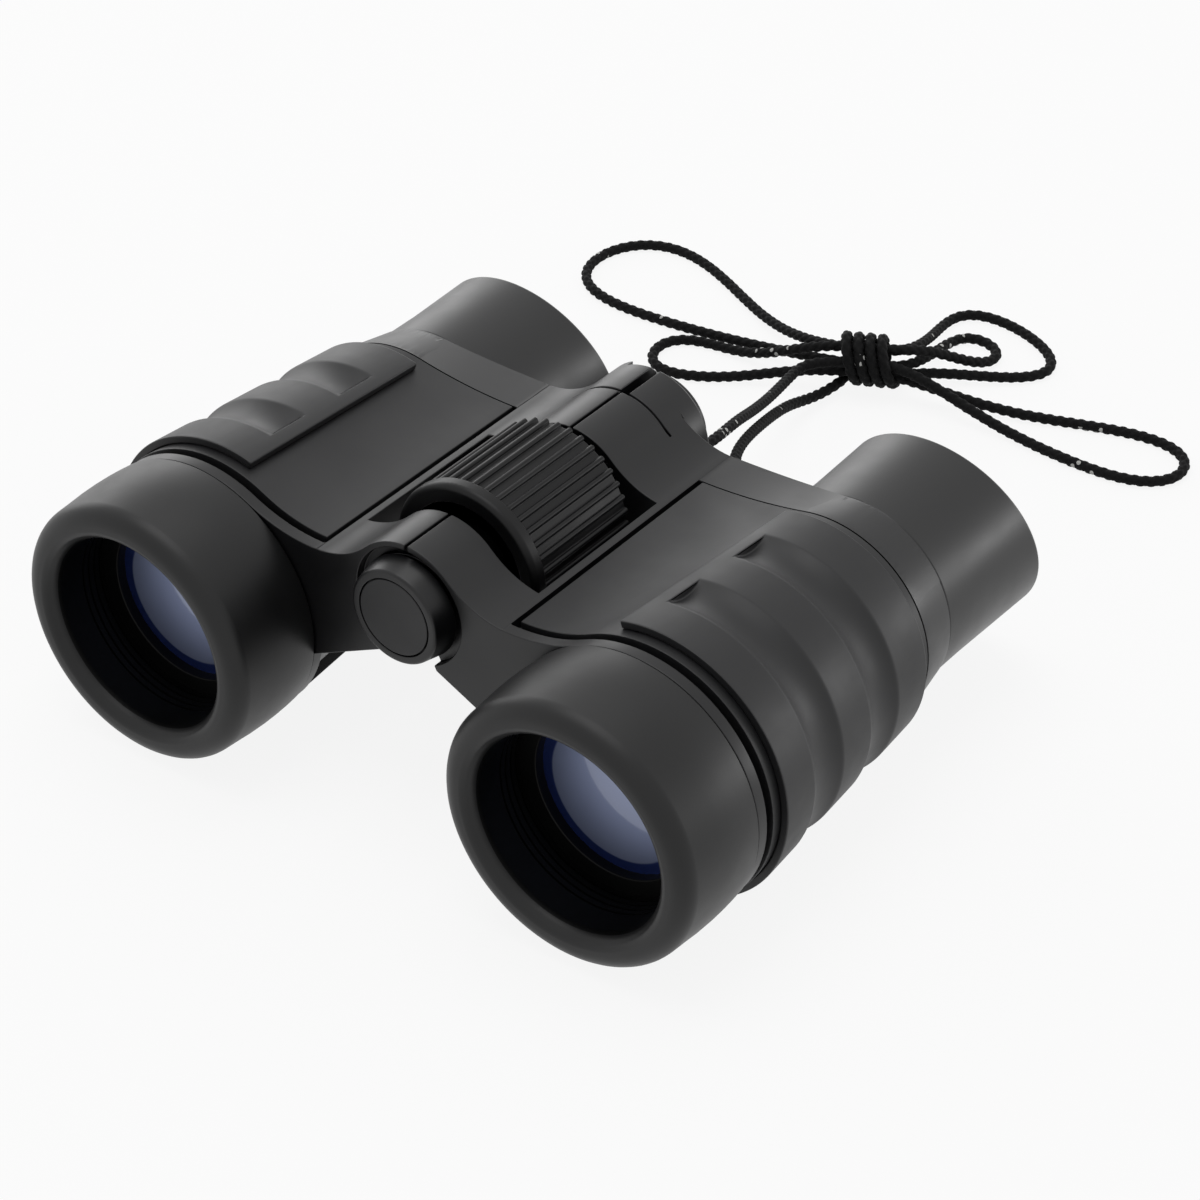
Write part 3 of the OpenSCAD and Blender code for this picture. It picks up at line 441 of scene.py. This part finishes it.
# Hinge: a drawn steel axle through the knuckle rings, pressed into a flared black ABS cap at the front
# and a plain one behind. A matte disc is let into the front cap.
cap_low, cap_high = box_mm("front_hinge_cap")
disc_low, disc_high = box_mm("front_cap_disc")
_, axle_high = box_mm("hinge_axle")
hinge_z = (disc_low[2] + disc_high[2]) / 2
axle_r = axle_high[0]
cap_front_y = cap_low[1] - lip_y
cap_front_round = 0.4
cap_r = 7.2
cap_flare_r = cap_high[0]
cap_flare_round = 0.2
cap_rear_y = 16.49
cap_neck_r = 4.6
cap_neck_end_y = cap_high[1] - lip_y
disc_floor_y = disc_high[1] - lip_y
disc_seat_r = 6
disc_seat_round = 0.1
disc_r = disc_high[0]
disc_round = 0.15
cap_corners = [
    (axle_r, disc_floor_y, 0), (disc_seat_r, disc_floor_y, 0), (disc_seat_r, cap_front_y, disc_seat_round),
    (cap_r, cap_front_y, cap_front_round), (cap_flare_r, cap_rear_y, cap_flare_round),
    (cap_neck_r, cap_rear_y, 0), (cap_neck_r, cap_neck_end_y, 0), (axle_r, cap_neck_end_y, 0)]
front_cap = turned(cap_corners, 0, hinge_z)
make_piece(front_cap, "front_cap", "right_barrel", [gloss_abs], ["front_hinge_cap"])
disc_corners = [
    (0, cap_front_y, 0), (disc_r, cap_front_y, disc_round), (disc_r, disc_floor_y, 0), (0, disc_floor_y, 0)]
cap_disc = turned(disc_corners, 0, hinge_z)
make_piece(cap_disc, "cap_disc", "right_barrel", [soft_touch], ["front_cap_disc"])
nodes["rear_hinge_cap"].data.materials[0] = gloss_abs

# Bright steel wire: drawn lengthwise, so its fine lines run along the axle
draw_line_mm = 0.2
draw_stretch = 0.02
drawn_steel, tree = new_material("drawn steel")
place = add_node(tree, "ShaderNodeTexCoord").outputs["Object"]
drawn = add_node(tree, "ShaderNodeMapping", {"Vector": place, "Scale": (1, draw_stretch, 1)})
lines = add_node(tree, "ShaderNodeTexNoise", {
    "Vector": drawn.outputs[0], "Scale": 1 / (draw_line_mm * MM), "Detail": 2})
gloss = add_node(tree, "ShaderNodeMapRange", {"Value": lines.outputs["Fac"], "To Min": 0.22, "To Max": 0.4})
surface = add_node(tree, "ShaderNodeBsdfPrincipled", {
    "Base Color": linear("#b9bbbd"), "Metallic": 1, "Roughness": gloss.outputs["Result"]})
add_node(tree, "ShaderNodeOutputMaterial", {"Surface": surface.outputs["BSDF"]})
nodes["hinge_axle"].data.materials[0] = drawn_steel

# Focus drive: a black ABS wheel with moulded ribs and a smooth front rim, pressed on a threaded spindle
# that runs on the axle. The spindle drives the carriage that both eyepiece arms hook into.
rib_rounding = 0.12
# Satin ABS: blacker and duller than the bodies, so that the ribs stand in dark gaps
satin_abs = moulded_plastic(
    "satin black ABS", "#040405", roughness=0.42, specular=0.26, grain_mm=0.3, grain_depth_mm=0.003)
wheel = softened_copy("focus_wheel", rib_rounding)
make_piece(wheel, "wheel", "focus_drive", [satin_abs], ["focus_wheel"])

# Acetal: the slippery plastic of the drive, dark grey with a waxy sheen
acetal = moulded_plastic(
    "dark grey acetal", "#1c1d1f", roughness=0.4, specular=0.5, grain_mm=0.4, grain_depth_mm=0.002)
nodes["focus_spindle"].data.materials[0] = acetal
nodes["focus_carriage"].data.materials[0] = acetal

# Neck cord: one black polyester braid, looped through the lug of the right body and tied up in a bow
# behind the object. Short rows of pale flecks show on the braid.
cord_d = 1.8
ground_z = 0.95
knot = Vector((-9, 94.5, 5.9))
knot_angle = math.radians(26)
knot_half = 6
pass_ring_r = 2.2
pass_turns = (162, 234, 90, 306, 18)
pass_rings = 4
wrap_ring_r = 3.8
wrap_pitch = 1.95
wrap_turns = 4.1
wrap_lean = 0.8
wrap_first = 300
wrap_rings = 88
loop_rings = 24
drop_reach = 17
lead_steps = 3
ease_times = 3
# Each loop's side of the waist, direction in degrees, length, width, how late it opens, first and last pass
bow_loops = (
    (1, 8, 49, -8.6, 1, 0, 1),
    (-1, 196, 31, 7, 1, 1, 2),
    (1, 79, 20, -5.6, 1, 2, 3),
    (-1, 169, 56, 13.4, 0.8, 3, 4),
    (1, 72, 26, 13.5, 0.5, 4, 5),
)
lead_left = (
    (5.9, 26.6, 23.8), (4.4, 26.6, 23.8), (1.2, 28, 23.8), (-0.2, 31.2, 23.6), (0, 38, 22.9),
    (-3.4, 49, 19.6), (-6.8, 58, 15.4), (-11, 69, 10.8), (-14.6, 79, 7.6), (-16, 85, 6.6),
    (-15.6, 88.4, 6.5),
)
lead_right = (
    (-13, 86, 1.4), (-13, 78, 4.4), (-8, 64, 10.4), (-2, 49, 16.6), (2, 41, 18.9), (5.6, 37, 20.2),
    (9.2, 34.2, 21.5), (10.8, 31, 22.8), (9.8, 28, 23.6), (7.2, 26.6, 23.8), (5.9, 26.6, 23.8),
)


def on_circle(radius, degrees):
    """The two coordinates of a point on a circle."""
    return radius * math.cos(math.radians(degrees)), radius * math.sin(math.radians(degrees))


def waist(u, v, w):
    """A point of the bow's waist: u along its axis, v towards the back, w up."""
    along = Vector((math.cos(knot_angle), math.sin(knot_angle), 0))
    return knot + along * u + Vector((-along.y, along.x, 0)) * v + Vector((0, 0, w))


def pass_at(i):
    """Where pass i lies in the waist's section. After the last pass comes the start of the wrap."""
    if i < len(pass_turns):
        return on_circle(pass_ring_r, pass_turns[i])
    return on_circle(wrap_ring_r, wrap_first)


def waist_pass(i, side):
    """The straight run of pass i through the waist, towards one side."""
    steps = range(1, pass_rings + 1)
    return [waist(side * knot_half * ((2 * k - 1) / pass_rings - 1), *pass_at(i)) for k in steps]


def loop(side, direction, length, width, lateness, first, last):
    """A loop swings out from the waist, comes down to the ground and returns."""
    points = []
    heading = math.radians(direction)
    for k in range(loop_rings + 1):
        t = k / loop_rings
        out = length * math.sin(math.pi * t)
        wide = width * math.sin(2 * math.pi * t) * max(0, math.sin(math.pi * t)) ** lateness
        share = (1 - math.cos(math.pi * t)) / 2
        at = [a + (b - a) * share for a, b in zip(pass_at(first), pass_at(last))]
        start = waist(side * knot_half, *at)
        drop = (1 + math.cos(math.pi * out / drop_reach)) / 2 if out < drop_reach else 0
        points.append(Vector((
            start.x + out * math.cos(heading) - wide * math.sin(heading),
            start.y + out * math.sin(heading) + wide * math.cos(heading),
            ground_z + (start.z - ground_z) * drop,
        )))
    return points


def wrap():
    """The turns that tie the waist, side by side and leaning over."""
    points = []
    for k in range(wrap_rings + 1):
        t = k / wrap_rings
        v, w = on_circle(wrap_ring_r, wrap_first - 360 * wrap_turns * t)
        u = wrap_turns * wrap_pitch * (1 - 2 * t) / 2
        points.append(waist(u - wrap_lean * w / wrap_ring_r, v, w))
    return points


def round_curve(corners, steps):
    """A round curve through the corners, without its last one."""
    p = [Vector(c) for c in corners]
    points = []
    for i in range(len(p) - 1):
        a, b, c, d = p[max(0, i - 1)], p[i], p[i + 1], p[min(len(p) - 1, i + 2)]
        bend = 2 * a - 5 * b + 4 * c - d
        swing = 3 * b - a - 3 * c + d
        for k in range(steps):
            t = k / steps
            points.append(b + ((c - a) * t + bend * t**2 + swing * t**3) / 2)
    return points


route = round_curve(lead_left, lead_steps)
for side, *shape, first, last in bow_loops:
    route += waist_pass(first, side) + loop(side, *shape, first, last)
route += wrap() + round_curve(lead_right, lead_steps) + [Vector(lead_right[-1])]
for _ in range(ease_times):
    inner = [(a + 2 * b + c) / 4 for a, b, c in zip(route, route[1:], route[2:])]
    route = [route[0]] + inner + [route[-1]]


def evenly_spaced(points, spacing):
    """Points along a polyline at one spacing, with its two ends."""
    spaced = [points[0]]
    left = spacing
    for a, b in zip(points, points[1:]):
        reach = (b - a).length
        while left <= reach:
            spaced.append(a.lerp(b, left / reach))
            left += spacing
        left -= reach
    return spaced + [points[-1]]


# The braid's strands cross on two slants and stand in lumps, three pairs of them around the cord. They
# are drawn coarser than a real braid's, so that they show
braid_pitch = 1.7
braid_pairs = 3
braid_relief = 0.22
braid_sides = 24
ring_spacing = 0.26
curve_steps = 8
cord_line = evenly_spaced(round_curve(route, curve_steps) + [route[-1]], ring_spacing)
cord_length = ring_spacing * (len(cord_line) - 2) + (cord_line[-1] - cord_line[-2]).length

cord_curve = bpy.data.curves.new("cord path", "CURVE")
cord_curve.dimensions = "3D"
cord_curve.bevel_depth = cord_d / 2 * MM
cord_curve.bevel_resolution = braid_sides // 2 - 2
cord_curve.use_fill_caps = True
spline = cord_curve.splines.new("POLY")
spline.points.add(len(cord_line) - 1)
for point, place in zip(spline.points, cord_line):
    point.co = (*place * MM, 1)
cord_path = bpy.data.objects.new("cord path", cord_curve)
cord_mesh = bpy.data.meshes.new_from_object(cord_path)
bpy.data.objects.remove(cord_path)
bm = bmesh.new()
bm.from_mesh(cord_mesh)
along_around = bm.loops.layers.uv.verify()
sunk_by = {}
for face in bm.faces:
    for corner in face.loops:
        along, around = corner[along_around].uv
        along *= cord_length
        one_slant = math.cos(math.pi * (along / braid_pitch + braid_pairs * around))
        other_slant = math.cos(math.pi * (along / braid_pitch - braid_pairs * around))
        sunk_by[corner.vert] = braid_relief * (1 - abs(one_slant * other_slant)) ** 2
        corner[along_around].uv = along, around
bm.normal_update()
for vert, sunk in sunk_by.items():
    vert.co -= vert.normal * sunk * MM
bm.to_mesh(cord_mesh)
bm.free()
cord_mesh.shade_smooth()
cord_mesh.name = "neck_cord"
neck_cord = bpy.data.objects.new("neck_cord", cord_mesh)
bpy.context.scene.collection.objects.link(neck_cord)
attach(neck_cord, "right_barrel")
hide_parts("cord_lead_left", "cord_bow", "cord_lead_right")

# Braided polyester: soft black yarn, with short rows of pale flecks on the crests of its lumps
fleck_row_mm = 14
fleck_row_level = 0.61
fleck_level = 0.6
fleck_reach = 0.3
fibres_per_lump = 3
fibre_depth = 0.08
braided_polyester, tree = new_material("braided polyester")
place = add_node(tree, "ShaderNodeUVMap", uv_map=cord_mesh.uv_layers[0].name).outputs["UV"]
slants = [
    add_node(tree, "ShaderNodeVectorMath", {
        0: place, 1: (1 / braid_pitch, pairs, 0)}, operation="DOT_PRODUCT")
    for pairs in (braid_pairs, -braid_pairs)]
lumps = add_node(tree, "ShaderNodeCombineXYZ", {
    "X": slants[0].outputs["Value"], "Y": slants[1].outputs["Value"]})
lump = add_node(tree, "ShaderNodeVectorMath", {0: lumps.outputs[0], 1: (0.5, 0.5, 0)}, operation="ADD")
lump = add_node(tree, "ShaderNodeVectorMath", {0: lump.outputs[0]}, operation="FLOOR")
pick = add_node(tree, "ShaderNodeTexWhiteNoise", {"Vector": lump.outputs[0]}, noise_dimensions="2D")
rare = add_node(tree, "ShaderNodeMath", {
    0: pick.outputs["Value"], 1: fleck_level}, operation="GREATER_THAN")
stretch = add_node(tree, "ShaderNodeVectorMath", {
    0: place, 1: (1 / fleck_row_mm, 0, 0)}, operation="MULTIPLY")
rows = add_node(tree, "ShaderNodeTexNoise", {"Vector": stretch.outputs[0], "Scale": 1, "Detail": 1})
row = add_node(tree, "ShaderNodeMath", {
    0: rows.outputs["Fac"], 1: fleck_row_level}, operation="GREATER_THAN")
off_centre = add_node(tree, "ShaderNodeVectorMath", {
    0: lumps.outputs[0], 1: lump.outputs[0]}, operation="DISTANCE")
crest = add_node(tree, "ShaderNodeMath", {
    0: off_centre.outputs["Value"], 1: fleck_reach}, operation="LESS_THAN")
fleck = add_node(tree, "ShaderNodeMath", {0: rare.outputs[0], 1: row.outputs[0]}, operation="MULTIPLY")
fleck = add_node(tree, "ShaderNodeMath", {0: fleck.outputs[0], 1: crest.outputs[0]}, operation="MULTIPLY")
yarn = add_node(tree, "ShaderNodeTexNoise", {
    "Vector": lumps.outputs[0], "Scale": fibres_per_lump, "Detail": 2})
black = add_node(tree, "ShaderNodeMix", {
    "Factor": yarn.outputs["Fac"], "A": linear("#080808"), "B": linear("#171718")}, data_type="RGBA")
colour = add_node(tree, "ShaderNodeMix", {
    "Factor": fleck.outputs[0], "A": black.outputs["Result"], "B": linear("#b9b9b6")}, data_type="RGBA")
fibres = add_node(tree, "ShaderNodeBump", {
    "Height": yarn.outputs["Fac"], "Strength": 0.6, "Distance": fibre_depth * MM})
surface = add_node(tree, "ShaderNodeBsdfPrincipled", {
    "Base Color": colour.outputs["Result"], "Normal": fibres.outputs["Normal"], "Roughness": 0.75,
    "Specular IOR Level": 0.12, "Sheen Weight": 0.01, "Sheen Roughness": 0.5})
add_node(tree, "ShaderNodeOutputMaterial", {"Surface": surface.outputs["BSDF"]})
cord_mesh.materials.append(braided_polyester)

# Floor and light: a plain white table in a soft studio, with a large lamp overhead and two behind.
# To the eye the table glows towards white, and keeps the shadow.
floor_half_m = 3
glow_share = 0.88
studio_fill = 0.5
floor_bm = bmesh.new()
bmesh.ops.create_grid(floor_bm, x_segments=1, y_segments=1, size=floor_half_m)
floor_mesh = bpy.data.meshes.new("floor")
floor_bm.to_mesh(floor_mesh)
floor_bm.free()
floor = bpy.data.objects.new("floor", floor_mesh)
bpy.context.scene.collection.objects.link(floor)


def seen_rays(tree):
    """1 on rays that are seen, straight or in gloss and glass, and 0 on those that only carry light."""
    rays = add_node(tree, "ShaderNodeLightPath").outputs
    seen = rays["Is Camera Ray"]
    for kind in ("Is Glossy Ray", "Is Transmission Ray"):
        seen = add_node(tree, "ShaderNodeMath", {0: seen, 1: rays[kind]}, operation="MAXIMUM").outputs[0]
    return seen


white_table, tree = new_material("white table")
share = add_node(tree, "ShaderNodeMath", {0: seen_rays(tree), 1: glow_share}, operation="MULTIPLY")
lit = add_node(tree, "ShaderNodeBsdfDiffuse", {"Color": linear("#f2f2f2")})
glow = add_node(tree, "ShaderNodeEmission", {"Color": linear("#ffffff"), "Strength": 1})
mixed = add_node(tree, "ShaderNodeMixShader", {0: share.outputs[0], 1: lit.outputs[0], 2: glow.outputs[0]})
add_node(tree, "ShaderNodeOutputMaterial", {"Surface": mixed.outputs[0]})
floor_mesh.materials.append(white_table)

world = bpy.data.worlds.new("studio")
world.use_nodes = True
bpy.context.scene.world = world
tree = world.node_tree
tree.nodes.clear()
strength = add_node(tree, "ShaderNodeMapRange", {
    "Value": seen_rays(tree), "To Min": studio_fill, "To Max": 1})
sky = add_node(tree, "ShaderNodeBackground", {"Color": linear("#ffffff"), "Strength": strength.outputs[0]})
add_node(tree, "ShaderNodeOutputWorld", {"Surface": sky.outputs[0]})

lamp_aim = Vector((0, 0, 0.02))


def add_lamp(name, place, size, power):
    """A soft rectangular lamp that faces the object: place and size in metres, power in watts."""
    lamp = bpy.data.objects.new(name, bpy.data.lights.new(name, "AREA"))
    lamp.data.shape = "RECTANGLE"
    lamp.data.size, lamp.data.size_y = size
    lamp.data.energy = power
    lamp.location = place
    lamp.rotation_euler = (lamp_aim - Vector(place)).to_track_quat("-Z", "Y").to_euler()
    bpy.context.scene.collection.objects.link(lamp)


add_lamp("overhead softbox", place=(-0.1, 0, 0.9), size=(0.7, 0.6), power=2.4)
add_lamp("back left softbox", place=(-1, 0.7, 0.25), size=(1.4, 0.6), power=4.8)
add_lamp("low back light", place=(0.75, 0.9, 0.08), size=(0.5, 0.14), power=2)
bpy.context.scene.view_settings.view_transform = "Standard"

# Camera: the photograph's own view, from in front of the right barrel and above it, through a long
# lens.
view_azimuth = math.radians(37.471)
view_elevation = math.radians(35.312)
view_roll = math.radians(-0.845)
view_target = Vector((14.03, -8.12, 26.48)) * MM
view_distance = 503.74 * MM
sensor_mm = 36
focal_mm = 109.67
nearest_seen = 10 * MM

camera = bpy.data.objects.new("camera", bpy.data.cameras.new("camera"))
camera.data.sensor_width = sensor_mm
camera.data.lens = focal_mm
camera.data.clip_start = nearest_seen
turn = Euler((math.pi / 2 - view_elevation, 0, view_azimuth)).to_matrix()
turn = turn @ Matrix.Rotation(view_roll, 3, "Z")
stand = view_target + turn @ Vector((0, 0, view_distance))
camera.matrix_world = Matrix.Translation(stand) @ turn.to_4x4()
bpy.context.scene.collection.objects.link(camera)
bpy.context.scene.camera = camera
